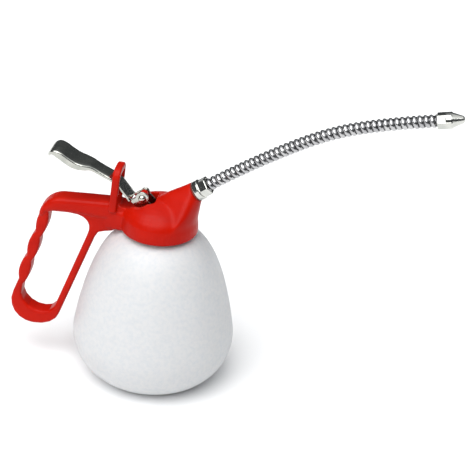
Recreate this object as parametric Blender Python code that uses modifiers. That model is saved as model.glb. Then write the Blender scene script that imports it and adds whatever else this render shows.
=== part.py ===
"""Hand pump oiler: squeeze-lever pump head on a 500 ml bottle, with a flexible metal spout.

Metres, +Z up.  The origin is the centre of the bottle's flat base, +X points to the spout
and the handle is on the -X side.  The lever lifts a spring-loaded piston, so the pump is a
lift pump with one ball valve in its foot and one in its piston.
"""
import math

import bmesh
import bpy
from mathutils import Matrix, Vector

GAP = 0.0003                      # running gap between neighbouring pieces

# ---- bottle
BOTTLE_R = 0.050
BOTTLE_WIDE_Z = 0.031
BOTTLE_CROWN = 0.071              # height of the egg's upper curve above its widest circle
BASE_R = 0.0275
BOTTLE_WALL = 0.0013
SHOULDER_Z = 0.0990
NECK_R = 0.0172
NECK_BORE_R = 0.0153
NECK_TOP_Z = 0.1106
THREAD_R = 0.0186
THREAD_PITCH = 0.0030
THREAD_TURNS = 2.0

# ---- pump head
SKIRT_R = 0.0235
SKIRT_BORE_R = 0.0203
SKIRT_Z = 0.1016
DOME_Z = 0.1080                   # where the skirt turns into the dome
DOME_TOP_Z = 0.1230
CEILING_Z = 0.1125                # roof of the neck recess
HUB_R = 0.0125
HUB_Z = 0.0960
ARM_HALF = 0.0068                 # half the arm's width
LOOP_HALF = 0.0056                # half the handle loop's width
SLOT_HALF = 0.0078                # half the lever slot's width
SLOT_FLOOR_Z = 0.1150
SLOT_END_X = -0.0026
WELL_HALF = 0.0066
WELL_FLOOR_Z = 0.1085

# ---- lever and its pivot
PIVOT = Vector((-0.0108, 0.0, 0.1228))
PIVOT_R = 0.0013
EAR_R = 0.0028
EAR_HALF = 0.0052                 # outer faces of the ears and the toe
LEVER_HALF = 0.0061               # outer faces of the lever's side flanges
PAD_HALF = 0.0084
SHEET = 0.0012
LUG_HALF = 0.0029                 # the lug between the lever's ears that holds the pivot pin
REST_SLOPE = math.radians(44.0)   # slope of the lever's toe at rest
CLIP_Y = 0.0059                   # retaining clip on the pin's far end
SWING = math.radians(16.0)        # how far the lever is pressed
CROSS_PIN_R = 0.0012
TOE_HALF = 0.0027
CROSS_PIN_Z = PIVOT.z + PIVOT.x * math.tan(REST_SLOPE)

# ---- pump
CYL_R = 0.0079
CYL_BORE_R = 0.0062
CYL_TOP_Z = 0.1023
CYL_FOOT_Z = 0.0620
PUMP_BORE_TOP_Z = 0.1043
ROD_R = 0.0020
KNUCKLE_R = 0.0029
GUIDE_R = 0.0056
GUIDE_TOP_Z = 0.1082
GUIDE_FOOT_Z = 0.1026
PISTON_TOP_Z = 0.0870
PISTON_FOOT_Z = 0.0780
PISTON_R = 0.0057
PISTON_BALL_R = 0.0018
PISTON_BALL_Z = 0.0812
INLET_BALL_R = 0.0022
INLET_BALL_Z = 0.0648
PORT_Z = 0.1006
PORT_X = 0.0104                   # riser that carries the oil from the cylinder to the spout
PORT_R = 0.0011
TUBE_R = 0.0025
TUBE_BORE_R = 0.0016
TUBE_FOOT_Z = 0.0060

# ---- spout
BOSS_FACE = Vector((0.0209, 0.0, 0.1301))
SPOUT_TILT = math.radians(38.0)
SPIGOT_R = 0.0043
FITTING_LEN = 0.0100
HOSE_START = 0.0086               # from the boss face along the spout's axis
HOSE_LEN = 0.1496
HOSE_R = 0.0040
HOSE_BORE_R = 0.0031
LINER_R = 0.0027
LINER_BORE_R = 0.0018
HOSE_GAP = 0.0012                 # gap at each bending point of the hose
HOSE_PARTS = 6

# Heading of the hose along its length: (length so far, degrees above the horizontal).
HOSE_HEADINGS = ((0.000, 37.5), (0.030, 34.6), (0.062, 31.6), (0.082, 26.0),
                 (0.101, 18.6), (0.120, 15.2), (0.146, 12.6))

COLOURS = {
    "red_plastic": ((0.53, 0.012, 0.003), 0.33, 0.0),
    "milky_plastic": ((0.86, 0.88, 0.90), 0.45, 0.0),
    "white_plastic": ((0.80, 0.80, 0.77), 0.40, 0.0),
    "chrome": ((0.62, 0.62, 0.62), 0.12, 1.0),
    "hose_steel": ((0.42, 0.42, 0.42), 0.25, 1.0),
    "steel": ((0.50, 0.50, 0.51), 0.30, 1.0),
    "brass": ((0.70, 0.50, 0.20), 0.28, 1.0),
    "black_rubber": ((0.02, 0.02, 0.02), 0.70, 0.0),
    "red_fibre": ((0.22, 0.03, 0.02), 0.80, 0.0),
}

for old in list(bpy.data.objects):
    bpy.data.objects.remove(old, do_unlink=True)

PARTS = bpy.data.collections.new("hand_pump_oiler")
CUTTERS = bpy.data.collections.new("cutters")
for made in (PARTS, CUTTERS):
    bpy.context.scene.collection.children.link(made)


# ------------------------------------------------------------------ helpers

def material(name):
    """The shared Principled material of that name."""
    found = bpy.data.materials.get(name)
    if found:
        return found
    colour, roughness, metallic = COLOURS[name]
    made = bpy.data.materials.new(name)
    made.use_nodes = True
    shader = made.node_tree.nodes["Principled BSDF"]
    shader.inputs["Base Color"].default_value = (*colour, 1.0)
    shader.inputs["Roughness"].default_value = roughness
    shader.inputs["Metallic"].default_value = metallic
    return made


def place(obj, finish):
    """Link a finished piece into the object's collection and give it its material."""
    for home in list(obj.users_collection):
        home.objects.unlink(obj)
    PARTS.objects.link(obj)
    obj.data.materials.clear()
    obj.data.materials.append(material(finish))
    if obj.type == "MESH":
        obj.data.shade_smooth()
        obj.data.set_sharp_from_angle(angle=math.radians(35))
    return obj


def shape(name, mesh):
    """A new mesh object that is not linked as a part yet."""
    obj = bpy.data.objects.new(name, mesh)
    CUTTERS.objects.link(obj)
    return obj


def hide_cutter(obj):
    obj.hide_render = True
    obj.display_type = "WIRE"
    return obj


def combine(base, other, operation):
    """Add an exact Boolean of another shape, which stays in the file as a cutter."""
    hide_cutter(other)
    boolean = base.modifiers.new(operation.lower(), "BOOLEAN")
    boolean.operation = operation
    boolean.solver = "EXACT"
    boolean.object = other
    return base


def cut(base, *others):
    for other in others:
        combine(base, other, "DIFFERENCE")
    return base


def join(base, *others):
    for other in others:
        combine(base, other, "UNION")
    return base


def bevel(obj, width, segments=2, angle=40):
    made = obj.modifiers.new("bevel", "BEVEL")
    made.width = width
    made.segments = segments
    made.limit_method = "ANGLE"
    made.angle_limit = math.radians(angle)
    return obj


def cylinder(name, radius, start, end, sides=24, end_radius=None):
    """A cylinder or cone from one point to another."""
    start, end = Vector(start), Vector(end)
    axis = end - start
    mesh = bpy.data.meshes.new(name)
    work = bmesh.new()
    bmesh.ops.create_cone(work, cap_ends=True, segments=sides, radius1=radius,
                          radius2=radius if end_radius is None else end_radius, depth=axis.length)
    work.to_mesh(mesh)
    work.free()
    turn = Vector((0, 0, 1)).rotation_difference(axis.normalized()).to_matrix().to_4x4()
    mesh.transform(Matrix.Translation((start + end) / 2) @ turn)
    return shape(name, mesh)


def box(name, low, high):
    """A block between two corners."""
    low, high = Vector(low), Vector(high)
    mesh = bpy.data.meshes.new(name)
    work = bmesh.new()
    bmesh.ops.create_cube(work, size=1.0)
    work.to_mesh(mesh)
    work.free()
    mesh.transform(Matrix.Translation((low + high) / 2) @ Matrix.Diagonal((*(high - low), 1.0)))
    return shape(name, mesh)


def turned(name, outline, steps=32, closed=True):
    """A solid of revolution about Z; its profile runs down the outer side first."""
    mesh = bpy.data.meshes.new(name)
    count = len(outline)
    edges = [(i, i + 1) for i in range(count - 1)]
    if closed:
        edges.append((count - 1, 0))
    mesh.from_pydata([(r, 0.0, z) for r, z in outline], edges, [])
    obj = shape(name, mesh)
    screw = obj.modifiers.new("screw", "SCREW")
    screw.steps = steps
    screw.render_steps = steps
    screw.use_merge_vertices = True
    screw.merge_threshold = 0.00001
    return obj


def ring(name, inner, outer, low, high, steps=24):
    """A plain ring of rectangular section about Z."""
    return turned(name, [(outer, high), (outer, low), (inner, low), (inner, high)], steps)


def across(name, radius, centre, half, sides):
    """A cylinder along Y through a point."""
    return cylinder(name, radius, centre - Vector((0, half, 0)), centre + Vector((0, half, 0)), sides)


def uv_sphere(name, radius, centre, around, up):
    mesh = bpy.data.meshes.new(name)
    work = bmesh.new()
    bmesh.ops.create_uvsphere(work, u_segments=around, v_segments=up, radius=radius)
    work.to_mesh(mesh)
    work.free()
    mesh.transform(Matrix.Translation(centre))
    return shape(name, mesh)


def hang(obj, empty):
    """Parent a piece to an empty without moving it."""
    obj.parent = empty
    obj.matrix_parent_inverse = Matrix.Translation(-empty.location)
    return obj


def pivoted(obj, point, name):
    """Hang a moving piece on an empty that stands on its joint's axis."""
    empty = bpy.data.objects.new(name, None)
    PARTS.objects.link(empty)
    empty.location = point
    return hang(obj, empty)


def along_axis(obj, origin, tilt):
    """Lay a piece made along +Z onto the spout's axis, tilt degrees above the horizontal."""
    obj.matrix_world = Matrix.Translation(origin) @ Matrix.Rotation(math.pi / 2 - tilt, 4, "Y")
    return obj


def to_mesh(obj):
    """Turn a curve object into a welded mesh object."""
    bpy.context.view_layer.update()
    graph = bpy.context.evaluated_depsgraph_get()
    mesh = bpy.data.meshes.new_from_object(obj.evaluated_get(graph))
    work = bmesh.new()
    work.from_mesh(mesh)
    bmesh.ops.remove_doubles(work, verts=work.verts, dist=0.00001)
    bmesh.ops.recalc_face_normals(work, faces=work.faces)
    work.to_mesh(mesh)
    work.free()
    name = obj.name
    made = shape(name + "_mesh", mesh)
    made.matrix_world = obj.matrix_world.copy()
    bpy.data.objects.remove(obj, do_unlink=True)
    made.name = name
    return made


def plate(name, outlines, half, round_r=0.0, resolution=2):
    """A flat outline in XZ, with holes, extruded to +-half along Y with rounded edges."""
    curve = bpy.data.curves.new(name, "CURVE")
    curve.dimensions = "2D"
    curve.fill_mode = "BOTH"
    curve.extrude = half - round_r
    curve.bevel_depth = round_r
    curve.offset = -round_r
    curve.bevel_resolution = resolution
    for outline in outlines:
        spline = curve.splines.new("POLY")
        spline.points.add(len(outline) - 1)
        for point, (x, z) in zip(spline.points, outline):
            point.co = (x, z, 0.0, 1.0)
        spline.use_cyclic_u = True
    obj = bpy.data.objects.new(name, curve)
    CUTTERS.objects.link(obj)
    obj.matrix_world = Matrix.Rotation(math.pi / 2, 4, "X")
    return to_mesh(obj)


def arc(centre, radius, start, end, count):
    """Points on an arc in a plane, angles in degrees from +X towards +Z."""
    points = []
    for i in range(count):
        angle = math.radians(start + (end - start) * i / (count - 1))
        points.append((centre[0] + radius * math.cos(angle), centre[1] + radius * math.sin(angle)))
    return points


def fillet(points, radii, count=5):
    """Round the corners of a closed outline, each with its own radius."""
    rounded = []
    total = len(points)
    for i, radius in enumerate(radii):
        here = Vector(points[i])
        to_last = (Vector(points[i - 1]) - here).normalized()
        to_next = (Vector(points[(i + 1) % total]) - here).normalized()
        if radius <= 0.0:
            rounded.append(tuple(here))
            continue
        half = to_last.angle(to_next) / 2
        centre = here + (to_last + to_next).normalized() * (radius / math.sin(half))
        first = here + to_last * (radius / math.tan(half)) - centre
        last = here + to_next * (radius / math.tan(half)) - centre
        swing = math.atan2(first.x * last.y - first.y * last.x, first.dot(last))
        for step in range(count):
            angle = swing * step / (count - 1)
            turn = Matrix.Rotation(angle, 2)
            rounded.append(tuple(centre + turn @ first))
    return rounded


# ------------------------------------------------------------------ bottle

def egg_side(z):
    """Outer radius of the egg-shaped body at a height above its widest circle."""
    rise = (z - BOTTLE_WIDE_Z) / BOTTLE_CROWN
    return BOTTLE_R * (1.0 - rise ** 1.16) ** (1.0 / 3.64)


def egg_foot(angle):
    """Point of the body's lower curve: the widest circle at 90 degrees, the base at 0."""
    reach = math.sin(angle)
    return (BASE_R + (BOTTLE_R - BASE_R) * reach,
            BOTTLE_WIDE_Z * (1.0 - (1.0 - reach ** 1.48) ** (1.0 / 2.2)))


def inset(outline, depth):
    """The same open profile moved inwards, towards the axis side of its direction."""
    moved = []
    for i, (r, z) in enumerate(outline):
        before = outline[max(i - 1, 0)]
        after = outline[min(i + 1, len(outline) - 1)]
        along = Vector((after[0] - before[0], after[1] - before[1])).normalized()
        moved.append((r + along.y * depth, z - along.x * depth))
    return moved


def make_bottle():
    levels = [SHOULDER_Z - (SHOULDER_Z - BOTTLE_WIDE_Z) * (i / 12) ** 1.25 for i in range(13)]
    body = [(egg_side(z), z) for z in levels]
    body += [egg_foot(math.pi / 2 * (1 - i / 9)) for i in range(1, 10)]
    neck_foot = SHOULDER_Z + 0.0008
    outer = [(NECK_R, NECK_TOP_Z), (NECK_R, neck_foot)] + body
    inner = inset(body, BOTTLE_WALL)[:-1]
    inner.append((BASE_R - 0.0010, BOTTLE_WALL))
    inner[0] = (NECK_BORE_R, SHOULDER_Z - BOTTLE_WALL)
    hollow = [(0.0, BOTTLE_WALL)] + inner[::-1] + [(NECK_BORE_R, NECK_TOP_Z)]
    bottle = turned("bottle", outer + [(0.0, 0.0)] + hollow, steps=48)
    bottle = join(bottle, neck_thread())
    return place(bottle, "milky_plastic")


def neck_thread():
    """The moulded thread: a helical rib whose ends run out into the neck."""
    count = 56
    start = NECK_TOP_Z - 0.0022
    curve = bpy.data.curves.new("neck_thread", "CURVE")
    curve.dimensions = "3D"
    curve.bevel_depth = 0.0008
    curve.bevel_resolution = 1
    curve.use_fill_caps = True
    spline = curve.splines.new("POLY")
    spline.points.add(count - 1)
    for i, point in enumerate(spline.points):
        part = i / (count - 1)
        angle = 2 * math.pi * THREAD_TURNS * part
        run_out = min(1.0, 6 * part, 6 * (1 - part))
        radius = THREAD_R - 0.0008 - 0.0012 * (1 - run_out)
        z = start - THREAD_PITCH * THREAD_TURNS * part
        point.co = (radius * math.cos(angle), radius * math.sin(angle), z, 1.0)
    obj = bpy.data.objects.new("neck_thread", curve)
    CUTTERS.objects.link(obj)
    return to_mesh(obj)


def make_gasket():
    gasket = ring("neck_gasket", HUB_R + 0.0004, NECK_R + 0.0010, NECK_TOP_Z + GAP,
                  CEILING_Z - GAP, 32)
    return place(gasket, "black_rubber")


# ------------------------------------------------------------------ pump head

WELL_OUTLINE = [(-0.0088, WELL_FLOOR_Z), (0.0068, WELL_FLOOR_Z), (0.0068, 0.1176),
                (0.0044, 0.1206), (0.0000, 0.1218), (-0.0030, 0.1222), (-0.0088, 0.1222)]
GRIP_TOP = Vector((-0.0761, 0.0889))      # first finger notch on the outer edge
GRIP_DIR = Vector((-0.277, -0.961)).normalized()
GRIP_OUT = Vector((GRIP_DIR.y, -GRIP_DIR.x))     # away from the bottle
NOTCH_PITCH = 0.0183
NOTCH_LAG = 0.0034                        # the inner notches sit lower than the outer ones
NECK_WIDTH = 0.0036                       # between the two notch lines
OUTER_SWELL = 0.0022
INNER_SWELL = 0.0017


def scallops(origin, side, first, last, swell, steps=6):
    """Finger swells between notches numbered first to last, along the grip."""
    points = []
    count = round((last - first) * steps)
    for i in range(count + 1):
        notch = first + (last - first) * i / count
        height = swell * abs(math.sin(math.pi * notch)) ** 0.75
        point = origin + GRIP_DIR * (notch * NOTCH_PITCH) + side * height
        points.append((point.x, point.y))
    return points


def loop_outlines():
    """The handle loop: its outer edge with the gusset, and the finger opening."""
    outer_edge = scallops(GRIP_TOP, GRIP_OUT, -0.62, 2.0, OUTER_SWELL)
    inner_origin = GRIP_TOP - GRIP_OUT * NECK_WIDTH + GRIP_DIR * NOTCH_LAG
    inner_edge = scallops(inner_origin, -GRIP_OUT, -0.80, 2.0, INNER_SWELL)
    foot = [(-0.0897, 0.0440), (-0.0909, 0.0389), (-0.0905, 0.0341), (-0.0885, 0.0295),
            (-0.0853, 0.0260), (-0.0811, 0.0238), (-0.0763, 0.0230), (-0.0702, 0.0236),
            (-0.0652, 0.0256), (-0.0617, 0.0287), (-0.0600, 0.0320), (-0.0580, 0.0378)]
    gusset = [(-0.0394, 0.0905), (-0.0370, 0.0948), (-0.0330, 0.0962), (-0.0285, 0.0972),
              (-0.0240, 0.1000), (-0.0200, 0.1035), (-0.0200, 0.1120), (-0.0600, 0.1120)]
    corner = [(-0.0712, 0.1080), (-0.0738, 0.1042)]
    outside = outer_edge + foot + gusset + corner
    opening = inner_edge + [(-0.0845, 0.0427), (-0.0829, 0.0387), (-0.0795, 0.0351),
                            (-0.0751, 0.0330), (-0.0704, 0.0325), (-0.0662, 0.0336),
                            (-0.0632, 0.0366), (-0.0612, 0.0420)]
    opening += [(-0.0444, 0.0905), (-0.0431, 0.0948), (-0.0430, 0.0984), (-0.0442, 0.1013),
                (-0.0467, 0.1036), (-0.0502, 0.1049), (-0.0560, 0.1053), (-0.0660, 0.1047),
                (-0.0685, 0.1038)]
    return [outside, opening]


def arm_outline():
    """The arm above the loop, from the grip's shoulder to the middle of the head."""
    top = [(-0.0100, 0.1172), (-0.0300, 0.1171), (-0.0450, 0.1162), (-0.0590, 0.1152)]
    shoulder = arc((-0.0592, 0.0993), 0.0159, 96, 168, 7)
    under = [(-0.0733, 0.0985), (-0.0700, 0.1032), (-0.0660, 0.1049), (-0.0520, 0.1059),
             (-0.0400, 0.1052), (-0.0100, 0.1050)]
    return top + shoulder + under


def make_hoop():
    """The guide that the lever passes through: a flat loop standing on the arm."""
    half_in, half_out = 0.0068, 0.0092
    foot, inner_top, top = 0.1120, 0.1362, 0.1408
    outside = fillet([(-half_out, foot), (half_out, foot), (half_out, top), (-half_out, top)],
                     [0.0, 0.0, 0.0058, 0.0058])
    window = fillet([(-half_in, 0.1168), (half_in, 0.1168), (half_in, inner_top),
                     (-half_in, inner_top)], [0.0, 0.0, 0.0030, 0.0030])
    hoop = plate("lever_hoop", [outside, window], 0.0024, 0.0008, 1)
    lean = Matrix.Shear("XY", 4, (0.06, 0.0))
    hoop.data.transform(hoop.matrix_world)
    hoop.matrix_world = Matrix.Identity(4)
    hoop.data.transform(Matrix.Rotation(math.pi / 2, 4, "Z"))
    hoop.data.transform(Matrix.Translation((-0.0272, 0.0, -0.1290)))
    hoop.data.transform(lean)
    hoop.data.transform(Matrix.Translation((0.0, 0.0, 0.1290)))
    return hoop


def make_fairing():
    """Blend between the arm and the round skirt, wider towards the head."""
    narrow, wide = 0.0048, 0.0118
    low, high = 0.0993, 0.1125
    fairing = box("arm_fairing", (-0.0360, -1.0, 0.0990), (-0.0120, 1.0, high))
    for vertex in fairing.data.vertices:
        at_arm = vertex.co.x < -0.02
        half = narrow if at_arm else wide
        vertex.co.y = math.copysign(half, vertex.co.y)
        if vertex.co.z < 0.105:
            vertex.co.z = 0.0975 if at_arm else low + 0.0025
    return bevel(fairing, 0.0018, 2)


def dome_profile():
    """Solid skirt and dome with the hub below, from the top down the outside."""
    crown = []
    for i in range(9):
        angle = math.pi / 2 * i / 8
        crown.append((SKIRT_R * math.sin(angle),
                      DOME_Z + (DOME_TOP_Z - DOME_Z) * math.cos(angle)))
    skirt = [(SKIRT_R + 0.0003, SKIRT_Z + 0.0008), (SKIRT_R - 0.0005, SKIRT_Z),
             (SKIRT_BORE_R, SKIRT_Z), (SKIRT_BORE_R, CEILING_Z), (HUB_R, CEILING_Z),
             (HUB_R, HUB_Z), (0.0, HUB_Z)]
    return crown + skirt


def make_head():
    axis = spout_axis()
    head = turned("pump_head", dome_profile(), steps=40)
    boss = make_boss()
    arm = plate("arm", [arm_outline()], ARM_HALF, 0.0030)
    loop = plate("handle_loop", loop_outlines(), LOOP_HALF, 0.0014, 1)
    join(head, boss, arm, loop, make_fairing(), make_hoop())
    recess = ring("neck_recess", HUB_R, SKIRT_BORE_R, SKIRT_Z - 0.006, CEILING_Z, 40)
    slot = box("lever_slot", (-0.0248, -SLOT_HALF, SLOT_FLOOR_Z), (SLOT_END_X, SLOT_HALF, 0.1352))
    bevel(slot, 0.0030, 3)
    well = plate("plunger_well", [WELL_OUTLINE], WELL_HALF)
    pump_bore = cylinder("pump_bore", CYL_R + GAP, (0, 0, HUB_Z - 0.002), (0, 0, PUMP_BORE_TOP_Z), 28)
    guide_bore = cylinder("guide_bore", GUIDE_R + GAP, (0, 0, 0.100), (0, 0, WELL_FLOOR_Z + 0.001), 24)
    riser = cylinder("oil_riser", PORT_R, (PORT_X, 0, PORT_Z - 0.0006), (PORT_X, 0, 0.1235), 12)
    cross = cylinder("oil_cross_port", PORT_R, (0.0060, 0, PORT_Z), (PORT_X, 0, PORT_Z), 12)
    spout_bore = cylinder("spout_bore", SPIGOT_R + GAP, BOSS_FACE - axis * 0.0062,
                          BOSS_FACE + axis * 0.002, 20)
    spout_way = cylinder("spout_way", 0.0015, BOSS_FACE - axis * 0.0128, BOSS_FACE, 12)
    scoop = across("ear_scoop", 0.0085, Vector((-0.0138, 0.0, 0.1266)), 0.0175, 30)
    cut(head, recess, slot, scoop, well, pump_bore, guide_bore, riser, cross, spout_bore, spout_way)
    join(head, make_lug())
    cut(head, across("pin_hole", PIVOT_R + GAP, PIVOT, 0.0070, 16))
    return place(head, "red_plastic")


def make_lug():
    """The lug in the lever slot, with a round top, that carries the pivot pin."""
    x, z, radius = PIVOT.x, PIVOT.z, 0.0026
    outline = [(x - 0.0022, SLOT_FLOOR_Z - 0.0010), (x + 0.0020, SLOT_FLOOR_Z - 0.0010)]
    outline += arc((x, z), radius, -25, 205, 12)
    return plate("pivot_lug", [outline], LUG_HALF)


def make_boss():
    """The spout boss: the smooth hull over its end face, a collar behind and the skirt's side."""
    work = bmesh.new()
    turn = Matrix.Rotation(math.pi / 2 - SPOUT_TILT, 4, "Y")
    axis = spout_axis()
    for back, radius in ((0.0, 0.0064), (0.0140, 0.0079), (0.0240, 0.0084)):
        ring_at = Matrix.Translation(BOSS_FACE - axis * back) @ turn
        bmesh.ops.create_circle(work, segments=28, radius=radius, matrix=ring_at)
    for z, spread, reach in ((0.1070, 66.0, SKIRT_R - 0.0009), (0.1140, 55.0, SKIRT_R - 0.0001),
                             (0.1190, 38.0, SKIRT_R - 0.0003)):
        for side in range(-6, 7):
            angle = math.radians(spread * side / 6)
            work.verts.new((reach * math.cos(angle), reach * math.sin(angle), z))
    made = bmesh.ops.convex_hull(work, input=work.verts)
    loose = [v for v in made["geom_interior"] if isinstance(v, bmesh.types.BMVert)]
    bmesh.ops.delete(work, geom=loose, context="VERTS")
    bmesh.ops.delete(work, geom=[v for v in work.verts if not v.link_faces], context="VERTS")
    bmesh.ops.recalc_face_normals(work, faces=work.faces)
    mesh = bpy.data.meshes.new("spout_boss")
    work.to_mesh(mesh)
    work.free()
    return shape("spout_boss", mesh)


# ------------------------------------------------------------------ lever

# Middle of the pressed sheet's upper face, half its width and its flange depth.
LEVER_STATIONS = (
    (-0.0706, 0.1424, 0.0046, 0.0010), (-0.0699, 0.1449, 0.0064, 0.0019),
    (-0.0679, 0.1472, 0.0078, 0.0028), (-0.0648, 0.1482, 0.0084, 0.0033),
    (-0.0609, 0.1469, 0.0084, 0.0035), (-0.0567, 0.1443, 0.0084, 0.0036),
    (-0.0522, 0.1420, 0.0083, 0.0036), (-0.0477, 0.1408, 0.0079, 0.0034),
    (-0.0436, 0.1399, 0.0068, 0.0028), (-0.0405, 0.1386, 0.0061, 0.0024),
    (-0.0360, 0.1364, 0.0061, 0.0022), (-0.0310, 0.1342, 0.0061, 0.0022),
    (-0.0275, 0.1324, 0.0061, 0.0022), (-0.0247, 0.1300, 0.0061, 0.0022),
    (-0.0207, 0.1254, 0.0061, 0.0022), (-0.0170, 0.1211, 0.0061, 0.0022))


def lever_section(half, depth):
    """Across the sheet: (sideways, below the crown) from one flange edge to the other."""
    side = [(-half, -depth), (-half, -0.0012), (-half + 0.0010, -0.0002), (-half * 0.5, 0.0)]
    return side + [(0.0, 0.0)] + [(-y, z) for y, z in side[::-1]]


def make_lever_sheet():
    """The channel-shaped pressing, a loft through the stations with the sheet's thickness."""
    rows = []
    count = len(LEVER_STATIONS)
    for i, (x, z, half, depth) in enumerate(LEVER_STATIONS):
        before, after = LEVER_STATIONS[max(i - 1, 0)], LEVER_STATIONS[min(i + 1, count - 1)]
        along = Vector((after[0] - before[0], after[1] - before[1])).normalized()
        up = Vector((-along.y, along.x))
        rows.append([(x + up.x * w, y, z + up.y * w) for y, w in lever_section(half, depth)])
    mesh = bpy.data.meshes.new("lever")
    width = len(rows[0])
    faces = [(i * width + j, (i + 1) * width + j, (i + 1) * width + j + 1, i * width + j + 1)
             for i in range(count - 1) for j in range(width - 1)]
    mesh.from_pydata([point for row in rows for point in row], [], faces)
    sheet = shape("lever", mesh)
    solid = sheet.modifiers.new("sheet", "SOLIDIFY")
    solid.thickness = SHEET
    solid.offset = -1.0
    solid.use_even_offset = True
    return sheet


def make_ear(side):
    """One side plate: the round ear on the pivot, running on to the slotted toe."""
    toe_dir = Vector((math.cos(REST_SLOPE), -math.sin(REST_SLOPE)))
    toe_up = Vector((-toe_dir.y, toe_dir.x))
    pivot = Vector((PIVOT.x, PIVOT.z))
    toe = Vector((0.0, CROSS_PIN_Z))
    slope = math.degrees(REST_SLOPE)
    outline = [(-0.0240, 0.1280), (-0.0176, 0.1208)]
    outline += arc(pivot, EAR_R, 160, -8, 12)
    outline += arc(toe, TOE_HALF, 90 - slope, -90 - slope, 9)
    outline += [tuple(pivot + toe_dir * 0.0040 - toe_up * TOE_HALF), (-0.0118, 0.1164),
                (-0.0142, 0.1166), (-0.0162, 0.1181), (-0.0252, 0.1283)]
    near = -PIVOT.x / math.cos(REST_SLOPE - SWING) - 0.0002
    far = -PIVOT.x / math.cos(REST_SLOPE) + 0.0002
    slot_half = CROSS_PIN_R + 0.0006
    window = arc(pivot + toe_dir * far, slot_half, 90 - slope, -90 - slope, 7)
    window += arc(pivot + toe_dir * near, slot_half, 270 - slope, 90 - slope, 7)
    ear = plate("lever_ear", [outline, window], SHEET / 2)
    ear.location.y = side * (EAR_HALF - SHEET / 2)
    return ear


def make_lever():
    lever = make_lever_sheet()
    join(lever, make_ear(-1), make_ear(1))
    cut(lever, across("ear_holes", PIVOT_R + GAP, PIVOT, 0.0075, 16))
    return pivoted(place(lever, "chrome"), PIVOT, "lever_axis")


def make_pivot_pin():
    """Pin with a domed rivet head on the near side and a clip groove on the far side."""
    pin = across("lever_pivot_pin", PIVOT_R, PIVOT, 0.0067, 16)
    head = uv_sphere("pin_head", 0.0026, PIVOT + Vector((0, -0.0047, 0)), 20, 10)
    keep = box("pin_head_cut", PIVOT + Vector((-0.004, -EAR_HALF - GAP, -0.004)),
               PIVOT + Vector((0.004, 0.004, 0.004)))
    cut(head, keep)
    groove = across("pin_groove", 0.0030, PIVOT + Vector((0, CLIP_Y, 0)), 0.0003, 16)
    core = across("pin_core", 0.0009, PIVOT + Vector((0, CLIP_Y, 0)), 0.0010, 16)
    cut(groove, core)
    join(pin, head)
    cut(pin, groove)
    return place(pin, "chrome")


def make_pivot_clip():
    """Spring clip in the pin's groove, open on one side."""
    clip = ring("pivot_clip", 0.0012, 0.0023, -0.0002, 0.0002, 20)
    gap = box("clip_gap", (-0.0005, 0.0, -0.001), (0.0005, 0.004, 0.001))
    cut(clip, gap)
    turn = Matrix.Rotation(math.pi / 2, 4, "X")
    place_at = Matrix.Translation(PIVOT + Vector((0, CLIP_Y, 0))) @ turn
    clip.matrix_world = place_at
    gap.matrix_world = place_at
    return place(clip, "steel")


# ------------------------------------------------------------------ pump

def make_plunger_rod():
    """Rod with a knuckle at the top for the cross pin; its foot screws into the piston."""
    low, high = CROSS_PIN_Z - 0.0026, CROSS_PIN_Z + 0.0020
    rod = turned("plunger_rod", [(0.0, high), (KNUCKLE_R - 0.0006, high),
                                 (KNUCKLE_R, high - 0.0006), (KNUCKLE_R, low + 0.0006),
                                 (ROD_R, low), (ROD_R, PISTON_TOP_Z - 0.0017),
                                 (0.0, PISTON_TOP_Z - 0.0017)], 20, closed=False)
    cut(rod, across("rod_eye", CROSS_PIN_R + GAP, Vector((0, 0, CROSS_PIN_Z)), 0.006, 14))
    return place(rod, "steel")


def make_cross_pin():
    pin = across("plunger_cross_pin", CROSS_PIN_R, Vector((0, 0, CROSS_PIN_Z)), 0.0060, 14)
    return place(pin, "steel")


def make_rod_guide():
    """Brass bush that guides the rod, with a flange held by the cylinder and a seal pocket."""
    guide = turned("rod_guide", [(GUIDE_R, GUIDE_TOP_Z), (GUIDE_R, PUMP_BORE_TOP_Z - GAP),
                                 (CYL_R - GAP, PUMP_BORE_TOP_Z - GAP),
                                 (CYL_R - GAP, GUIDE_FOOT_Z), (ROD_R + GAP, GUIDE_FOOT_Z),
                                 (ROD_R + GAP, 0.1060), (0.0040, 0.1060),
                                 (0.0040, GUIDE_TOP_Z)], 28)
    return place(guide, "brass")


def make_rod_seal():
    seal = ring("rod_seal", ROD_R + GAP, 0.0040 - GAP, 0.1063, 0.1079, 24)
    return place(bevel(seal, 0.0003, 1), "black_rubber")


def make_return_spring():
    """Compression spring between the guide and the piston."""
    turns, wire, radius = 6.0, 0.00045, 0.0043
    low, high = PISTON_TOP_Z + GAP + wire, GUIDE_FOOT_Z - GAP - wire
    count = int(turns * 16) + 1
    curve = bpy.data.curves.new("return_spring", "CURVE")
    curve.dimensions = "3D"
    curve.bevel_depth = wire
    curve.bevel_resolution = 1
    curve.use_fill_caps = True
    spline = curve.splines.new("POLY")
    spline.points.add(count - 1)
    for i, point in enumerate(spline.points):
        part = i / (count - 1)
        angle = 2 * math.pi * turns * part
        point.co = (radius * math.cos(angle), radius * math.sin(angle),
                    low + (high - low) * part, 1.0)
    obj = bpy.data.objects.new("return_spring", curve)
    CUTTERS.objects.link(obj)
    return place(to_mesh(obj), "steel")


def make_cylinder():
    cylinder_tube = ring("pump_cylinder", CYL_BORE_R, CYL_R, CYL_FOOT_Z, CYL_TOP_Z, 28)
    cut(cylinder_tube, cylinder("cylinder_port", PORT_R, (0.003, 0, PORT_Z), (0.010, 0, PORT_Z), 12))
    return place(cylinder_tube, "white_plastic")


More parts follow.
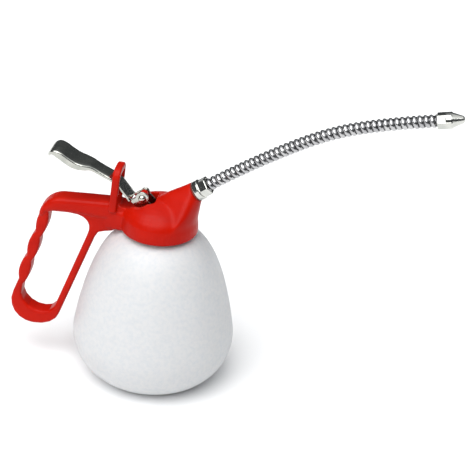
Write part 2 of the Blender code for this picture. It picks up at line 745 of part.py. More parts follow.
def make_piston():
    """Piston with a seal groove, a ball chamber over a seat, and a cross hole."""
    groove_top, groove_foot, groove_r = 0.0810, 0.0794, 0.0047
    piston = turned("piston", [
        (0.0, PISTON_TOP_Z), (0.0051, PISTON_TOP_Z), (PISTON_R, PISTON_TOP_Z - 0.0006),
        (PISTON_R, groove_top),
        (groove_r, groove_top), (groove_r, groove_foot), (PISTON_R, groove_foot),
        (PISTON_R, PISTON_FOOT_Z + 0.0004), (PISTON_R - 0.0004, PISTON_FOOT_Z),
        (0.0013, PISTON_FOOT_Z), (0.0013, 0.0796), (0.0024, 0.0806), (0.0024, 0.0842),
        (0.0, 0.0842)], 28, closed=False)
    cut(piston, cylinder("rod_socket", ROD_R + GAP, (0, 0, PISTON_TOP_Z - 0.0020),
                         (0, 0, PISTON_TOP_Z + 0.001), 20),
        across("piston_cross_hole", 0.0008, Vector((0, 0, 0.0828)), 0.008, 12))
    return place(piston, "brass")


def make_piston_seal():
    return place(ring("piston_seal", 0.0050, 0.0059, 0.0797, 0.0807, 28), "black_rubber")


def make_ball(name, radius, z):
    return place(uv_sphere(name, radius, Vector((0, 0, z)), 20, 12), "steel")


def make_foot_valve():
    """Foot plug with the inlet seat above and the socket for the suction tube below."""
    seat = turned("foot_valve_seat", [
        (CYL_BORE_R - GAP, 0.0660), (CYL_BORE_R - GAP, CYL_FOOT_Z - GAP),
        (CYL_R, CYL_FOOT_Z - GAP), (CYL_R, 0.0590), (0.0046, 0.0572), (0.0042, 0.0520),
        (TUBE_R + GAP, 0.0520), (TUBE_R + GAP, 0.0585), (0.0013, 0.0585), (0.0013, 0.0626),
        (0.0026, 0.0638), (0.0030, 0.0660)], 28)
    return place(seat, "white_plastic")


def make_ball_cage():
    cage = turned("inlet_ball_cage", [
        (0.0053, 0.0702), (CYL_BORE_R - GAP, 0.0696), (CYL_BORE_R - GAP, 0.0663),
        (0.0030, 0.0663), (0.0030, 0.0690), (0.0014, 0.0690), (0.0014, 0.0702)], 28)
    return place(cage, "white_plastic")


def make_suction_tube():
    return place(ring("suction_tube", TUBE_BORE_R, TUBE_R, TUBE_FOOT_Z, 0.0582, 16),
                 "milky_plastic")


def make_strainer():
    """Slotted cup that keeps dirt out of the suction tube's foot."""
    strainer = turned("suction_strainer", [
        (0.0046, 0.0130), (0.0050, 0.0126), (0.0050, 0.0026), (0.0046, 0.0022), (0.0, 0.0022),
        (0.0, 0.0032), (0.0040, 0.0032), (0.0040, 0.0118), (TUBE_R + GAP, 0.0118),
        (TUBE_R + GAP, 0.0130)], 24)
    for i in range(3):
        slit = box("strainer_slit", (-0.008, -0.0008, 0.0045), (0.008, 0.0008, 0.0105))
        slit.rotation_euler.z = math.radians(60 * i)
        cut(strainer, slit)
    return place(strainer, "white_plastic")


# ------------------------------------------------------------------ spout

def spout_axis():
    return Vector((math.cos(SPOUT_TILT), 0.0, math.sin(SPOUT_TILT)))


def hose_heading(s):
    """Heading of the hose at a length along it, eased between the listed ones."""
    stops = HOSE_HEADINGS
    for (s0, a0), (s1, a1) in zip(stops, stops[1:]):
        if s <= s1:
            part = max(0.0, (s - s0) / (s1 - s0))
            return math.radians(a0 + (a1 - a0) * part)
    return math.radians(stops[-1][1])


def hose_points(first, last, spacing=0.0040):
    """Points on the hose's middle line between two lengths, found by walking along it."""
    start = BOSS_FACE + spout_axis() * HOSE_START
    fine = 0.0002
    wanted = max(2, round((last - first) / spacing) + 1)
    targets = [first + (last - first) * i / (wanted - 1) for i in range(wanted)]
    points, s, here = [], 0.0, start.copy()
    for target in targets:
        while s < target - 1e-9:
            step = min(fine, target - s)
            angle = hose_heading(s + step / 2)
            here = here + Vector((math.cos(angle), 0.0, math.sin(angle))) * step
            s += step
        points.append(here.copy())
    return points


def hose_joint(number):
    """Length along the hose of a bending point; 1 is nearest the head."""
    return HOSE_LEN * number / HOSE_PARTS


def bent_tube(name, outer, inner, first, last, finish):
    """A hollow tube along a stretch of the hose's route."""
    curve = bpy.data.curves.new(name, "CURVE")
    curve.dimensions = "3D"
    curve.bevel_depth = outer
    curve.bevel_resolution = 2
    curve.use_fill_caps = False
    points = hose_points(first, last)
    spline = curve.splines.new("POLY")
    spline.points.add(len(points) - 1)
    for point, where in zip(spline.points, points):
        point.co = (*where, 1.0)
    obj = bpy.data.objects.new(name, curve)
    CUTTERS.objects.link(obj)
    tube = to_mesh(obj)
    wall = tube.modifiers.new("wall", "SOLIDIFY")
    wall.thickness = outer - inner
    wall.offset = -1.0
    wall.use_even_offset = True
    return place(tube, finish)


def make_hose():
    """Hose and liner in short lengths, each hanging on its own bending point."""
    for number in range(1, HOSE_PARTS + 1):
        first = 0.0 if number == 1 else hose_joint(number - 1) + HOSE_GAP / 2
        last = HOSE_LEN if number == HOSE_PARTS else hose_joint(number) - HOSE_GAP / 2
        hose = bent_tube(f"spout_hose_{number}", HOSE_R, HOSE_BORE_R, first, last, "hose_steel")
        liner = bent_tube(f"spout_liner_{number}", LINER_R, LINER_BORE_R, first, last,
                          "milky_plastic")
        if number > 1:
            where = hose_points(0.0, hose_joint(number - 1))[-1]
            bend = bpy.data.objects.new(f"hose_bend_{number - 1}", None)
            PARTS.objects.link(bend)
            bend.location = where
            for piece in (hose, liner):
                hang(piece, bend)


def make_washer():
    washer = ring("spout_washer", SPIGOT_R + GAP, 0.0063, GAP, 0.0009, 28)
    return place(along_axis(washer, BOSS_FACE, SPOUT_TILT), "red_fibre")


def make_fitting():
    """Spigot, round collar and hexagon in one turned piece, bored right through."""
    collar_foot, collar_top, end = 0.0012, 0.0046, FITTING_LEN
    fitting = turned("spout_fitting", [
        (0.0061, collar_top), (0.0064, collar_top - 0.0003), (0.0064, collar_foot),
        (SPIGOT_R, collar_foot), (SPIGOT_R, -0.0052), (0.0040, -0.0056), (0.0, -0.0056),
        (0.0, collar_top)], 28)
    hexagon = cylinder("fitting_hex", 0.0060, (0, 0, 0.0030), (0, 0, end), 6)
    bevel(hexagon, 0.0004, 1, 50)
    bore = cylinder("fitting_bore", 0.0016, (0, 0, -0.007), (0, 0, 0.010), 14)
    socket = cylinder("fitting_socket", HOSE_R + GAP, (0, 0, HOSE_START - GAP), (0, 0, end + 0.001), 24)
    join(fitting, hexagon)
    cut(fitting, bore, socket)
    for piece in (fitting, hexagon, bore, socket):
        along_axis(piece, BOSS_FACE, SPOUT_TILT)
    return place(fitting, "chrome")


def make_tip():
    """Nozzle: a hexagon that holds the hose, then a round cone with the outlet bore."""
    ending = hose_points(0.0, HOSE_LEN)[-1]
    tilt = hose_heading(HOSE_LEN)
    socket_deep, hex_len, hex_r = 0.0014, 0.0090, 0.0052
    hexagon = cylinder("spout_tip", hex_r, (0, 0, -socket_deep), (0, 0, hex_len - socket_deep), 6)
    taper = turned("tip_taper", [
        (0.0, 0.0146), (0.0013, 0.0146), (0.0021, 0.0140),
        (hex_r - 0.0004, hex_len - socket_deep - 0.0006), (hex_r - 0.0004, 0.0040),
        (0.0, 0.0040)], 24, closed=False)
    socket = cylinder("tip_socket", HOSE_R + GAP, (0, 0, -0.003), (0, 0, GAP), 24)
    bore = cylinder("tip_bore", 0.0009, (0, 0, -0.001), (0, 0, 0.016), 12)
    bevel(hexagon, 0.0004, 1, 50)
    join(hexagon, taper)
    cut(hexagon, socket, bore)
    for piece in (hexagon, taper, socket, bore):
        along_axis(piece, ending, tilt)
    return hang(place(hexagon, "chrome"), bpy.data.objects[f"hose_bend_{HOSE_PARTS - 1}"])


for make in (make_bottle, make_gasket, make_head, make_lever, make_pivot_pin, make_pivot_clip,
             make_plunger_rod, make_cross_pin, make_rod_guide, make_rod_seal,
             make_return_spring, make_cylinder, make_piston, make_piston_seal, make_foot_valve,
             make_ball_cage, make_suction_tube, make_strainer, make_washer, make_fitting,
             make_hose, make_tip):
    make()
make_ball("piston_ball", PISTON_BALL_R, PISTON_BALL_Z)
make_ball("inlet_ball", INLET_BALL_R, INLET_BALL_Z)
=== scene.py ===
"""Looks of the hand pump oiler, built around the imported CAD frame."""
import math

import bmesh
import bpy
from mathutils import Matrix, Vector


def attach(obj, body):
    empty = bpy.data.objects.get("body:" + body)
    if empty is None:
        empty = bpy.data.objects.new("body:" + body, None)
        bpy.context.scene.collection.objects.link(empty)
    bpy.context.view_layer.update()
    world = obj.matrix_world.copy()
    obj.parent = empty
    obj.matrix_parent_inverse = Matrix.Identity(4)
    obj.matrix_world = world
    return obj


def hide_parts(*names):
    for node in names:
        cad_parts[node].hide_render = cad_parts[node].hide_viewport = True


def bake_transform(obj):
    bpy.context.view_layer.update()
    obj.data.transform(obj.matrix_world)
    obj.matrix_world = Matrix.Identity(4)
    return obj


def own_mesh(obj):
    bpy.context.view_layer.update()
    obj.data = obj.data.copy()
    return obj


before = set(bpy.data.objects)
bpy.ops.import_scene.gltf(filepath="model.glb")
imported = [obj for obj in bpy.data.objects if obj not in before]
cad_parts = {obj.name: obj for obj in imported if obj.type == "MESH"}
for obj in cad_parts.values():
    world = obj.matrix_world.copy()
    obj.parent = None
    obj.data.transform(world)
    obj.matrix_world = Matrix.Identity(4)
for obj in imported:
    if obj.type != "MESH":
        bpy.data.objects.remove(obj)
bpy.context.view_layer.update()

# ---- camera: the photograph's viewing angle
VIEW_AZIMUTH = math.radians(8.0)
VIEW_ELEVATION = math.radians(29.0)
VIEW_ROLL = math.radians(4.7)
VIEW_DISTANCE = 1.3
VIEW_TARGET = Vector((0.0468, 0.0, 0.1047))
VIEW_WIDTH = 0.2853               # metres seen across the picture at the target
SENSOR = 36.0

# ---- bottle
BOTTLE_R = 0.050
BOTTLE_WIDE_Z = 0.031
BOTTLE_CROWN = 0.071
BASE_R = 0.0275
BOTTLE_WALL = 0.0013
SHOULDER_Z = 0.0990
NECK_BORE_R = 0.0153
NECK_R = 0.0172
NECK_TOP_Z = 0.1106
NECK_RISE = 0.0014                # from the shoulder to the foot of the straight neck
RIM_BEVEL = 0.0004

# ---- lever: middle of the sheet's upper face, half its width and its flange depth
LEVER_STATIONS = (
    (-0.0705, 0.1425, 0.0046, 0.0010), (-0.0698, 0.1449, 0.0064, 0.0019),
    (-0.0679, 0.1471, 0.0078, 0.0032), (-0.0648, 0.1481, 0.0084, 0.0040),
    (-0.0609, 0.1469, 0.0084, 0.0044), (-0.0567, 0.1443, 0.0084, 0.0045),
    (-0.0522, 0.1420, 0.0083, 0.0044), (-0.0477, 0.1408, 0.0079, 0.0038),
    (-0.0436, 0.1399, 0.0068, 0.0028), (-0.0405, 0.1386, 0.0061, 0.0024),
    (-0.0360, 0.1364, 0.0061, 0.0022), (-0.0310, 0.1342, 0.0061, 0.0022),
    (-0.0275, 0.1324, 0.0061, 0.0022), (-0.0247, 0.1300, 0.0061, 0.0022),
    (-0.0207, 0.1254, 0.0061, 0.0022), (-0.0185, 0.1228, 0.0061, 0.0022))
LEVER_SPLICE = -0.0215
PIVOT = Vector((-0.0108, 0.0, 0.1228))
NEAR_EAR_R = 0.0041               # round boss pressed in the near ear
NEAR_EAR_Y = -0.0045
SHEET = 0.0012

# ---- spout
BOSS_FACE = Vector((0.0209, 0.0, 0.1301))
SPOUT_TILT = math.radians(38.0)
HOSE_START = 0.0086
HOSE_LEN = 0.1496
HOSE_PARTS = 6
HOSE_R = 0.00398
HOSE_BORE_R = 0.0029
HOSE_PITCH = 0.0034
GROOVE_SHARE = 0.22               # part of each turn that is the gap between beads
GROOVE_R = 0.00318
BEAD_DROP = 0.00075               # from a bead's crown to its edge
HOSE_HEADINGS = ((0.000, 37.5), (0.030, 34.6), (0.062, 31.6), (0.082, 26.0),
                 (0.101, 18.6), (0.120, 15.2), (0.146, 12.6))

# ---- fineness of the remeshed pieces
HEAD_VOXEL = 0.00042
FINE_VOXEL = 0.00026
HEX_VOXEL = 0.00016
PIN_VOXEL = 0.00014


# ------------------------------------------------------------------ node helpers

class Graph:
    """Shorthand for building one material's nodes."""

    def __init__(self, name):
        self.material = bpy.data.materials.new(name)
        self.material.use_nodes = True
        self.tree = self.material.node_tree
        self.shader = self.tree.nodes["Principled BSDF"]

    def set(self, **values):
        """Constants on the shader's own sockets; a colour is three numbers."""
        for key, value in values.items():
            socket = self.shader.inputs[key.replace("_", " ")]
            wants = len(socket.default_value) if isinstance(value, tuple) else 0
            socket.default_value = (*value, 1.0) if wants > 3 else value

    def node(self, kind):
        return self.tree.nodes.new(kind)

    def link(self, out, into):
        self.tree.links.new(out, into)

    def place(self, scale=(1.0, 1.0, 1.0)):
        """Object coordinates in metres, stretched by a scale."""
        coords = self.node("ShaderNodeTexCoord")
        mapping = self.node("ShaderNodeMapping")
        mapping.inputs["Scale"].default_value = scale
        self.link(coords.outputs["Object"], mapping.inputs["Vector"])
        return mapping.outputs["Vector"]

    def noise(self, scale, detail=3.0, stretch=(1.0, 1.0, 1.0)):
        """Noise with so many features to the metre."""
        made = self.node("ShaderNodeTexNoise")
        made.inputs["Scale"].default_value = scale
        made.inputs["Detail"].default_value = detail
        self.link(self.place(stretch), made.inputs["Vector"])
        return made.outputs["Fac"]

    def ramp(self, value, *stops):
        """Colour or grey between stops of (position, colour or number)."""
        made = self.node("ShaderNodeValToRGB")
        ramp = made.color_ramp
        while len(ramp.elements) < len(stops):
            ramp.elements.new(0.5)
        for element, (where, colour) in zip(ramp.elements, stops):
            element.position = where
            element.color = (*colour, 1.0) if isinstance(colour, tuple) else (colour,) * 3 + (1.0,)
        self.link(value, made.inputs["Fac"])
        return made.outputs["Color"]

    def colour(self, out):
        self.link(out, self.shader.inputs["Base Color"])

    def roughness(self, out):
        self.link(out, self.shader.inputs["Roughness"])

    def bump(self, height, strength, distance):
        made = self.node("ShaderNodeBump")
        made.inputs["Strength"].default_value = strength
        made.inputs["Distance"].default_value = distance
        self.link(height, made.inputs["Height"])
        self.link(made.outputs["Normal"], self.shader.inputs["Normal"])


def red_plastic():
    """Moulded red plastic: fine grain, faint flow marks, a few scuffs."""
    graph = Graph("red_plastic")
    graph.set(IOR=1.45, Specular_IOR_Level=0.12)
    flow = graph.noise(38.0, 2.0, (1.0, 1.0, 2.2))
    graph.colour(graph.ramp(flow, (0.30, (0.40, 0.0052, 0.0008)), (0.55, (0.46, 0.0072, 0.0012)),
                            (0.80, (0.50, 0.0100, 0.0020))))
    graph.roughness(graph.ramp(graph.noise(420.0, 4.0), (0.35, 0.30), (0.70, 0.42)))
    graph.bump(graph.noise(2600.0, 3.0), 0.10, 0.00010)
    return graph.material


def milky_plastic():
    """Blow-moulded polyethylene: translucent, frosted, slightly uneven."""
    graph = Graph("bottle_plastic")
    graph.set(IOR=1.50, Subsurface_Weight=0.35, Subsurface_Radius=(0.010, 0.011, 0.012),
              Subsurface_Scale=0.6, Transmission_Weight=0.35, Specular_IOR_Level=0.45)
    cloud = graph.noise(420.0, 5.0)
    graph.colour(graph.ramp(cloud, (0.34, (0.85, 0.88, 0.91)), (0.62, (0.93, 0.94, 0.95))))
    graph.roughness(graph.ramp(graph.noise(240.0, 5.0), (0.35, 0.34), (0.68, 0.55)))
    graph.bump(graph.noise(330.0, 4.0), 0.18, 0.0004)
    return graph.material


def plated(name, dark, light, low, high, brushed=(1.0, 1.0, 1.0), grain=900.0):
    """Plated or bare metal with fine rubbing marks."""
    graph = Graph(name)
    graph.set(Metallic=1.0)
    graph.colour(graph.ramp(graph.noise(160.0, 4.0), (0.35, dark), (0.70, light)))
    graph.roughness(graph.ramp(graph.noise(grain, 4.0, brushed), (0.35, low), (0.70, high)))
    graph.bump(graph.noise(grain, 3.0, brushed), 0.05, 0.00008)
    return graph.material


def moulded(name, dark, light, low, high, transmission=0.0):
    """Plain moulded plastic, rubber or fibre with a fine grain."""
    graph = Graph(name)
    graph.set(Transmission_Weight=transmission)
    graph.colour(graph.ramp(graph.noise(300.0, 3.0), (0.35, dark), (0.70, light)))
    graph.roughness(graph.ramp(graph.noise(700.0, 4.0), (0.35, low), (0.70, high)))
    graph.bump(graph.noise(1500.0, 3.0), 0.12, 0.00010)
    return graph.material


RED = red_plastic()
BOTTLE = milky_plastic()
PLATED = plated("plated_steel", (0.44, 0.45, 0.41), (0.60, 0.60, 0.55), 0.13, 0.22, (1, 12, 1))
NICKEL = plated("nickel_fitting", (0.52, 0.53, 0.50), (0.66, 0.66, 0.62), 0.10, 0.20)
HOSE = plated("hose_steel", (0.42, 0.42, 0.43), (0.60, 0.60, 0.60), 0.16, 0.28)
# painted shade: near-black metal standing in for the shade in the hose's grooves, bore and end rings
GROOVE_SHADE = plated("hose_groove_painted_shade", (0.030, 0.030, 0.032), (0.075, 0.075, 0.078), 0.40, 0.60)
SPRING = plated("spring_steel", (0.40, 0.40, 0.42), (0.55, 0.55, 0.57), 0.22, 0.36)
BRASS = plated("brass", (0.62, 0.43, 0.16), (0.76, 0.56, 0.24), 0.20, 0.34)
RUBBER = moulded("black_rubber", 0.012, 0.030, 0.55, 0.80)
WHITE = moulded("white_plastic", (0.72, 0.72, 0.69), (0.82, 0.82, 0.79), 0.34, 0.50)
TUBE = moulded("clear_tube", (0.74, 0.78, 0.80), (0.84, 0.87, 0.88), 0.20, 0.34, 0.55)
FIBRE = moulded("red_fibre", (0.17, 0.020, 0.012), (0.27, 0.040, 0.026), 0.70, 0.90)


# ------------------------------------------------------------------ mesh helpers

def new_object(name, mesh, finish):
    piece = bpy.data.objects.new(name, mesh)
    bpy.context.scene.collection.objects.link(piece)
    mesh.materials.clear()
    mesh.materials.append(finish)
    return piece


def applied(piece):
    """The same piece with its modifiers made into mesh, shaded smooth."""
    depsgraph = bpy.context.evaluated_depsgraph_get()
    mesh = bpy.data.meshes.new_from_object(piece.evaluated_get(depsgraph))
    piece.modifiers.clear()
    piece.data = mesh
    for face in mesh.polygons:
        face.use_smooth = True
    return piece


def rounded(piece, voxel, passes, factor=0.5):
    """Remeshes a closed form and relaxes it, which rounds its edges and facets."""
    remesh = piece.modifiers.new("remesh", "REMESH")
    remesh.mode = "VOXEL"
    remesh.voxel_size = voxel
    relax = piece.modifiers.new("relax", "SMOOTH")
    relax.factor = factor
    relax.iterations = passes
    return applied(piece)


def cad_copy(node, name, finish):
    """A copy of a CAD solid's mesh with its corners welded."""
    work = bmesh.new()
    work.from_mesh(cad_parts[node].data)
    bmesh.ops.remove_doubles(work, verts=work.verts, dist=1e-6)
    mesh = bpy.data.meshes.new(name)
    work.to_mesh(mesh)
    work.free()
    return new_object(name, mesh, finish)


def stand_for(piece, body, slot, *nodes):
    """The piece moves with a body and is shown in place of those CAD nodes."""
    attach(piece, body)
    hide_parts(*nodes)
    return piece


def lathe(name, profile, steps, finish):
    """A closed profile of (radius, height) turned about Z; radius 0 makes a pole."""
    work = bmesh.new()
    rows = []
    for radius, z in profile:
        if radius < 1e-7:
            rows.append([work.verts.new((0.0, 0.0, z))])
            continue
        rows.append([work.verts.new((radius * math.cos(2 * math.pi * i / steps),
                                     radius * math.sin(2 * math.pi * i / steps), z))
                     for i in range(steps)])
    for upper, lower in zip(rows, rows[1:]):
        for i in range(steps):
            after = (i + 1) % steps
            ring = [upper[i % len(upper)], lower[i % len(lower)],
                    lower[after % len(lower)], upper[after % len(upper)]]
            corners = list(dict.fromkeys(ring))
            if len(corners) > 2:
                work.faces.new(corners)
    bmesh.ops.recalc_face_normals(work, faces=work.faces)
    mesh = bpy.data.meshes.new(name)
    work.to_mesh(mesh)
    work.free()
    for face in mesh.polygons:
        face.use_smooth = True
    return new_object(name, mesh, finish)


# ------------------------------------------------------------------ bottle

def egg_side(z):
    """Outer radius of the egg-shaped body at a height above its widest circle."""
    rise = (z - BOTTLE_WIDE_Z) / BOTTLE_CROWN
    return BOTTLE_R * (1.0 - rise ** 1.16) ** (1.0 / 3.64)


def egg_foot(angle):
    """Point of the body's lower curve: the widest circle at 90 degrees, the base at 0."""
    reach = math.sin(angle)
    return (BASE_R + (BOTTLE_R - BASE_R) * reach,
            BOTTLE_WIDE_Z * (1.0 - (1.0 - reach ** 1.48) ** (1.0 / 2.2)))


def inset(outline, depth):
    """The same open profile moved inwards."""
    moved = []
    for i, (r, z) in enumerate(outline):
        before = outline[max(i - 1, 0)]
        after = outline[min(i + 1, len(outline) - 1)]
        along = Vector((after[0] - before[0], after[1] - before[1])).normalized()
        moved.append((r + along.y * depth, z - along.x * depth))
    return moved


def make_bottle():
    """Thin-walled shell from the neck's rim over the egg-shaped body to the flat base."""
    side_steps, foot_steps, around = 60, 40, 160
    levels = [SHOULDER_Z - (SHOULDER_Z - BOTTLE_WIDE_Z) * (i / side_steps) ** 1.25
              for i in range(side_steps + 1)]
    body = [(egg_side(z), z) for z in levels]
    body += [egg_foot(math.pi / 2 * (1 - i / foot_steps)) for i in range(1, foot_steps + 1)]
    neck = [(NECK_R - RIM_BEVEL, NECK_TOP_Z), (NECK_R, NECK_TOP_Z - RIM_BEVEL),
            (NECK_R, SHOULDER_Z + NECK_RISE)]
    inner = inset(body, BOTTLE_WALL)[:-1]
    inner[0] = (NECK_BORE_R, SHOULDER_Z - BOTTLE_WALL)
    inner.append((BASE_R - 0.0010, BOTTLE_WALL))
    profile = neck + body + [(0.0, 0.0), (0.0, BOTTLE_WALL)] + inner[::-1]
    profile += [(NECK_BORE_R, NECK_TOP_Z), neck[0]]
    bottle = lathe("oil_bottle", profile, around, BOTTLE)
    return stand_for(bottle, "bottle", "bottle_plastic", "bottle")


# ------------------------------------------------------------------ head and lever

def ease(value, low, high):
    """0 below low, 1 above high, smooth between."""
    part = min(1.0, max(0.0, (value - low) / (high - low)))
    return part * part * (3.0 - 2.0 * part)


def make_head():
    """The moulded head; the spout boss melts into the dome, its end face stays crisp."""
    head = rounded(cad_copy("pump_head", "moulded_head", RED), HEAD_VOXEL, 14)
    axis = Vector((math.cos(SPOUT_TILT), 0.0, math.sin(SPOUT_TILT)))
    group = head.vertex_groups.new(name="boss")
    for vertex in head.data.vertices:
        here = vertex.co
        behind = (BOSS_FACE - here).dot(axis)
        outside = math.hypot(here.x, here.y)
        weight = (ease(here.x, -0.001, 0.005) * ease(here.z, 0.1075, 0.1120)
                  * ease(behind, 0.0012, 0.0040) * ease(outside, 0.0075, 0.0095))
        if weight > 0.0:
            group.add([vertex.index], weight, "REPLACE")
    relax = head.modifiers.new("relax", "SMOOTH")
    relax.factor = 0.6
    relax.iterations = 60
    relax.vertex_group = "boss"
    return stand_for(applied(head), "head", "red_plastic", "pump_head")


def spline(stations, steps):
    """Even points on a smooth curve through the stations (Catmull-Rom)."""
    made = []
    last = len(stations) - 1
    for i in range(last):
        p0, p1 = stations[max(i - 1, 0)], stations[i]
        p2, p3 = stations[i + 1], stations[min(i + 2, last)]
        for step in range(steps):
            t = step / steps
            made.append(tuple(0.5 * (2 * b + (c - a) * t + (2 * a - 5 * b + 4 * c - d) * t * t
                                     + (3 * b - 3 * c + d - a) * t ** 3)
                              for a, b, c, d in zip(p0, p1, p2, p3)))
    return made + [stations[last]]


def lever_section(half, depth):
    """Half of the section: (sideways, below the crown) from the flange edge to the middle."""
    bend, drop, rise = 0.0011, 0.00115, 0.00100
    deep = max(depth, 0.0018)
    flange = [(half, -deep), (half, -(deep + drop) / 2), (half, -drop)]
    corner = [(half - bend * (1 - math.cos(a)), -drop + rise * math.sin(a))
              for a in (0.45, 0.90, 1.30)]
    return flange + corner + [(half * 0.62, -0.00006), (half * 0.3, 0.0), (0.0, 0.0)]


def lever_loft():
    """The pressed sheet's outer face, fine along its length, with the sheet's thickness."""
    stations = spline(LEVER_STATIONS, 8)
    rows = []
    for i, (x, z, half, depth) in enumerate(stations):
        before, after = stations[max(i - 1, 0)], stations[min(i + 1, len(stations) - 1)]
        along = Vector((after[0] - before[0], after[1] - before[1])).normalized()
        up = Vector((-along.y, along.x))
        section = lever_section(half, depth)
        section = [(-y, w) for y, w in section] + section[-2::-1]
        rows.append([(x + up.x * w, y, z + up.y * w) for y, w in section])
    width = len(rows[0])
    faces = [(i * width + j, (i + 1) * width + j, (i + 1) * width + j + 1, i * width + j + 1)
             for i in range(len(rows) - 1) for j in range(width - 1)]
    mesh = bpy.data.meshes.new("lever_loft")
    mesh.from_pydata([point for row in rows for point in row], [], faces)
    sheet = new_object("lever_loft", mesh, PLATED)
    solid = sheet.modifiers.new("sheet", "SOLIDIFY")
    solid.thickness = SHEET
    solid.offset = -1.0
    return applied(sheet)


def lever_toe():
    """The CAD lever from its foot of the sheet to the slotted toe, closed where it is cut."""
    toe = cad_copy("lever", "lever_toe", PLATED)
    work = bmesh.new()
    work.from_mesh(toe.data)
    cut = bmesh.ops.bisect_plane(work, geom=work.verts[:] + work.edges[:] + work.faces[:],
                                 plane_co=(LEVER_SPLICE, 0, 0), plane_no=(-1, 0, 0),
                                 clear_outer=True)
    rim = [part for part in cut["geom_cut"] if isinstance(part, bmesh.types.BMEdge)]
    bmesh.ops.triangle_fill(work, edges=rim, use_beauty=True)
    work.to_mesh(toe.data)
    work.free()
    return toe


def make_lever():
    """Smooth pressed sheet and toe, fused by the remesh."""
    loft, toe = lever_loft(), lever_toe()
    work = bmesh.new()
    work.from_mesh(loft.data)
    work.from_mesh(toe.data)
    turn = Matrix.Translation(PIVOT + Vector((0, NEAR_EAR_Y, 0))) @ Matrix.Rotation(math.pi / 2, 4, "X")
    bmesh.ops.create_cone(work, cap_ends=True, segments=48, radius1=NEAR_EAR_R, radius2=NEAR_EAR_R,
                          depth=SHEET, matrix=turn)
    mesh = bpy.data.meshes.new("pressed_lever")
    work.to_mesh(mesh)
    work.free()
    for part in (loft, toe):
        bpy.data.objects.remove(part)
    lever = new_object("pressed_lever", mesh, PLATED)
    return stand_for(rounded(lever, FINE_VOXEL, 5), "lever", "plated_steel", "lever")


def make_spring():
    """The return spring between the piston and the guide, shaded smooth, moving with the plunger."""
    spring = cad_copy("return_spring", "coil_spring", SPRING)
    for face in spring.data.polygons:
        face.use_smooth = True
    stand_for(spring, "plunger", "spring_steel", "return_spring")
    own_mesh(spring)


def make_small_parts():
    """Pin, fitting and nozzle with softened edges."""
    pin = rounded(cad_copy("lever_pivot_pin", "domed_pin", PLATED), PIN_VOXEL, 6)
    stand_for(pin, "head", "plated_steel", "lever_pivot_pin")
    fitting = rounded(cad_copy("spout_fitting", "turned_fitting", NICKEL), HEX_VOXEL, 4)
    stand_for(fitting, "head", "nickel_fitting", "spout_fitting")
    tip = rounded(cad_copy("spout_tip", "nozzle", NICKEL), HEX_VOXEL, 4)
    stand_for(tip, f"hose_{HOSE_PARTS}", "nickel_fitting", "spout_tip")


# ------------------------------------------------------------------ hose

def hose_heading(s):
    """Heading at a length along the hose, in radians above the horizontal."""
    for (s0, a0), (s1, a1) in zip(HOSE_HEADINGS, HOSE_HEADINGS[1:]):
        if s <= s1:
            part = max(0.0, (s - s0) / (s1 - s0))
            return math.radians(a0 + (a1 - a0) * part)
    return math.radians(HOSE_HEADINGS[-1][1])


def hose_route(count):
    """Points and headings at even lengths along the hose's middle line."""
    here = BOSS_FACE + Vector((math.cos(SPOUT_TILT), 0.0, math.sin(SPOUT_TILT))) * HOSE_START
    step = HOSE_LEN / count
    route = [(here.copy(), hose_heading(0.0))]
    for i in range(count):
        angle = hose_heading((i + 0.5) * step)
        here = here + Vector((math.cos(angle), 0.0, math.sin(angle))) * step
        route.append((here.copy(), hose_heading((i + 1) * step)))
    return route


def strip_profile(turn):
    """Outer radius across one turn of the wound strip: a round bead and a narrow groove."""
    part = turn % 1.0
    if part < GROOVE_SHARE:
        return GROOVE_R
    across = (part - GROOVE_SHARE) / (1.0 - GROOVE_SHARE)
    return HOSE_R - BEAD_DROP * (1.0 - math.sin(math.pi * across)) ** 1.6


def hose_piece(route, first, last, count, name):
    """A closed length of the corrugated hose between two steps of its route."""
    around = 40
    work = bmesh.new()
    sides = ([], [])
    for i in range(first, last + 1):
        centre, angle = route[i]
        upward = Vector((-math.sin(angle), 0.0, math.cos(angle)))
        sideways = Vector((0.0, 1.0, 0.0))
        length = HOSE_LEN * i / count
        for row, side in enumerate(sides):
            ring = []
            for j in range(around):
                phi = 2 * math.pi * j / around
                turn = length / HOSE_PITCH + phi / (2 * math.pi)
                radius = strip_profile(turn) if row == 0 else HOSE_BORE_R
                offset = upward * (radius * math.cos(phi)) + sideways * (radius * math.sin(phi))
                ring.append(work.verts.new(centre + offset))
            side.append(ring)
    painted_shade_faces = []                # one entry for each face, in the order they are made: true where the face takes the painted shade
    for row, side in enumerate(sides):
        for i, (a, b) in enumerate(zip(side, side[1:])):
            for j in range(around):
                k = (j + 1) % around
                work.faces.new((a[j], a[k], b[k], b[j]))
                turn = HOSE_LEN * (first + i + 0.5) / count / HOSE_PITCH + (j + 0.5) / around
                painted_shade_faces.append(row == 1 or turn % 1.0 < GROOVE_SHARE)
    painted_shade_faces += [True] * (2 * around)
    for end in (0, -1):
        for j in range(around):
            k = (j + 1) % around
            work.faces.new((sides[0][end][j], sides[0][end][k], sides[1][end][k], sides[1][end][j]))
    bmesh.ops.recalc_face_normals(work, faces=work.faces)
    mesh = bpy.data.meshes.new(name)
    work.to_mesh(mesh)
    work.free()
    piece = new_object(name, mesh, HOSE)
    # painted shade: the groove, bore and end faces take the near-black second material
    mesh.materials.append(GROOVE_SHADE)
    for face, groove in zip(mesh.polygons, painted_shade_faces):
        face.use_smooth = True
        face.material_index = 1 if groove else 0
    return piece


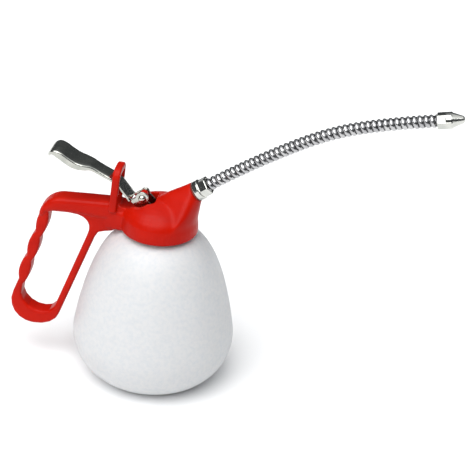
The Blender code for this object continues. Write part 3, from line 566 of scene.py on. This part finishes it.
def make_hose():
    """Seven lengths: each one that crosses a bending point turns smoothly across it."""
    per_part = 96
    count = per_part * HOSE_PARTS
    route = hose_route(count)
    half = per_part // 2
    cuts = [0] + [half + per_part * k for k in range(HOSE_PARTS)] + [count]
    for number, (first, last) in enumerate(zip(cuts, cuts[1:])):
        piece = hose_piece(route, first, last, count, f"gooseneck_{number + 1}")
        if number == 0:
            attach(piece, "head")
            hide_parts("spout_hose_1")
        elif number == HOSE_PARTS:
            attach(piece, f"hose_{HOSE_PARTS}")
        else:
            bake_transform(piece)
            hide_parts(f"spout_hose_{number + 1}")


# ------------------------------------------------------------------ carried-over CAD pieces

CARRIED = {
    "neck_gasket": RUBBER, "rod_seal": RUBBER, "piston_seal": RUBBER,
    "pivot_clip": SPRING, "plunger_rod": SPRING, "plunger_cross_pin": SPRING,
    "piston_ball": SPRING, "inlet_ball": SPRING,
    "rod_guide": BRASS, "piston": BRASS,
    "pump_cylinder": WHITE, "foot_valve_seat": WHITE, "inlet_ball_cage": WHITE,
    "suction_strainer": WHITE, "suction_tube": TUBE, "spout_washer": FIBRE,
}


def finish_carried():
    """Procedural materials on the CAD nodes that are shown as they are."""
    for number in range(1, HOSE_PARTS + 1):
        CARRIED[f"spout_liner_{number}"] = TUBE
    for node, material in CARRIED.items():
        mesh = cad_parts[node].data
        mesh.materials.clear()
        mesh.materials.append(material)
        for face in mesh.polygons:
            face.material_index = 0


# ------------------------------------------------------------------ stage

def make_camera():
    """A long lens whose picture holds the whole object with the photograph's margins."""
    back = Vector((math.sin(VIEW_AZIMUTH) * math.cos(VIEW_ELEVATION),
                   -math.cos(VIEW_AZIMUTH) * math.cos(VIEW_ELEVATION), math.sin(VIEW_ELEVATION)))
    right = Vector((math.cos(VIEW_AZIMUTH), math.sin(VIEW_AZIMUTH), 0.0))
    upward = back.cross(right)
    across = right * math.cos(VIEW_ROLL) + upward * math.sin(VIEW_ROLL)
    turn = Matrix((across, back.cross(across), back)).transposed().to_4x4()
    camera = bpy.data.objects.new("camera", bpy.data.cameras.new("camera"))
    camera.data.sensor_width = SENSOR
    camera.data.lens = SENSOR * VIEW_DISTANCE / VIEW_WIDTH
    camera.data.clip_start = 0.01
    camera.data.clip_end = 20.0
    bpy.context.scene.collection.objects.link(camera)
    camera.matrix_world = Matrix.Translation(VIEW_TARGET + back * VIEW_DISTANCE) @ turn
    bpy.context.scene.camera = camera


def make_floor():
    """A wide pale floor just under the base."""
    mesh = bpy.data.meshes.new("floor")
    mesh.from_pydata([(-4, -4, 0), (4, -4, 0), (4, 4, 0), (-4, 4, 0)], [], [(0, 1, 2, 3)])
    graph = Graph("floor")
    graph.set(Base_Color=(0.93, 0.93, 0.93), Roughness=0.9)
    floor = new_object("floor", mesh, graph.material)
    floor.location.z = -0.0002


def make_world():
    """Soft studio: bright above, greyer and cooler towards the horizon."""
    world = bpy.data.worlds.new("studio")
    bpy.context.scene.world = world
    world.use_nodes = True
    tree = world.node_tree
    coords = tree.nodes.new("ShaderNodeTexCoord")
    split = tree.nodes.new("ShaderNodeSeparateXYZ")
    ramp = tree.nodes.new("ShaderNodeValToRGB")
    stops = ((0.0, (0.050, 0.055, 0.062)), (0.58, (0.085, 0.090, 0.092)),
             (0.78, (0.70, 0.72, 0.75)), (1.0, (1.05, 1.05, 1.05)))
    while len(ramp.color_ramp.elements) < len(stops):
        ramp.color_ramp.elements.new(0.5)
    for element, (where, colour) in zip(ramp.color_ramp.elements, stops):
        element.position = where
        element.color = (*colour, 1.0)
    tree.links.new(coords.outputs["Generated"], split.inputs[0])
    tree.links.new(split.outputs["Z"], ramp.inputs["Fac"])
    tree.links.new(ramp.outputs["Color"], tree.nodes["Background"].inputs["Color"])
    tree.nodes["Background"].inputs["Strength"].default_value = 1.0


def make_lights():
    """One broad soft source from the front left, above the camera."""
    light = bpy.data.lights.new("softbox", "SUN")
    light.energy = 3.3
    light.angle = math.radians(64.0)
    lamp = bpy.data.objects.new("softbox", light)
    bpy.context.scene.collection.objects.link(lamp)
    lamp.rotation_euler = Vector((-0.22, -0.62, 1.0)).to_track_quat("Z", "Y").to_euler()


make_bottle()
make_head()
make_lever()
make_small_parts()
make_spring()
make_hose()
finish_carried()
make_camera()
make_floor()
make_world()
make_lights()
bpy.context.scene.view_settings.view_transform = "Standard"
